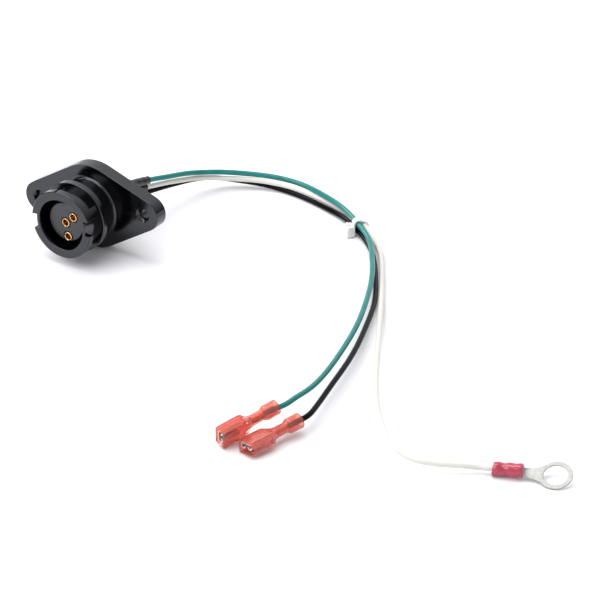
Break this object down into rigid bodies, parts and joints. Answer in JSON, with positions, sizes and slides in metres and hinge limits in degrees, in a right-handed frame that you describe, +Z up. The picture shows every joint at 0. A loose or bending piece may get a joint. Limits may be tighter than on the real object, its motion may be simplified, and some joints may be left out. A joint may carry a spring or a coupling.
{
  "type": "panel receptacle with leads",
  "caption": "Round bayonet panel receptacle on a diamond flange with coloured leads ending in insulated push-on tab receptacles and a ring terminal.",
  "frame": {"origin": "on the floor under the middle of the receptacle, half way along its length, where the rim of the flange stands", "axes": "+Z up, mating face toward -Y with the receptacle's axis level along Y, +X along the flange (which is rolled 7.7 degrees about Y) and toward the terminals"},
  "size_m": [0.2626, 0.1704, 0.033],
  "materials": {
    "shell_black": "satin moulded, faint mould texture",
    "core_black": "satin moulded",
    "spring_steel": "plain",
    "contact_gold": "gold plated, turned",
    "strand_copper": "stranded copper",
    "shrink_black": "matte shrunk polyolefin",
    "pvc_green": "extruded, semi gloss",
    "pvc_white": "extruded, semi gloss",
    "pvc_black": "extruded, semi gloss",
    "nylon_natural": "natural translucent nylon",
    "nylon_red": "translucent salmon red nylon",
    "sleeve_red": "translucent crimson vinyl",
    "tinned": "electro-tinned, satin"
  },
  "bodies": {
    "root": {"shell_barrel": "shell_black", "shell_flange": "shell_black", "contact_insert": "core_black", "insert_retaining_ring": "spring_steel", "contact_retainer": "core_black", "contact_green": "contact_gold", "contact_white": "contact_gold", "contact_black": "contact_gold", "conductor_tails": "strand_copper", "heat_shrink_green": "shrink_black", "heat_shrink_white": "shrink_black", "heat_shrink_black": "shrink_black", "wire_green": "pvc_green", "wire_white": "pvc_white", "wire_black": "pvc_black", "cable_tie": "nylon_natural", "disconnect_housing_green": "nylon_red", "disconnect_terminal_green": "tinned", "crimp_sleeve_green": "contact_gold", "conductor_end_green": "strand_copper", "disconnect_housing_black": "nylon_red", "disconnect_terminal_black": "tinned", "crimp_sleeve_black": "contact_gold", "conductor_end_black": "strand_copper", "ring_tongue": "tinned", "ring_sleeve": "sleeve_red", "conductor_end_white": "strand_copper"}
  },
  "joints": []
}
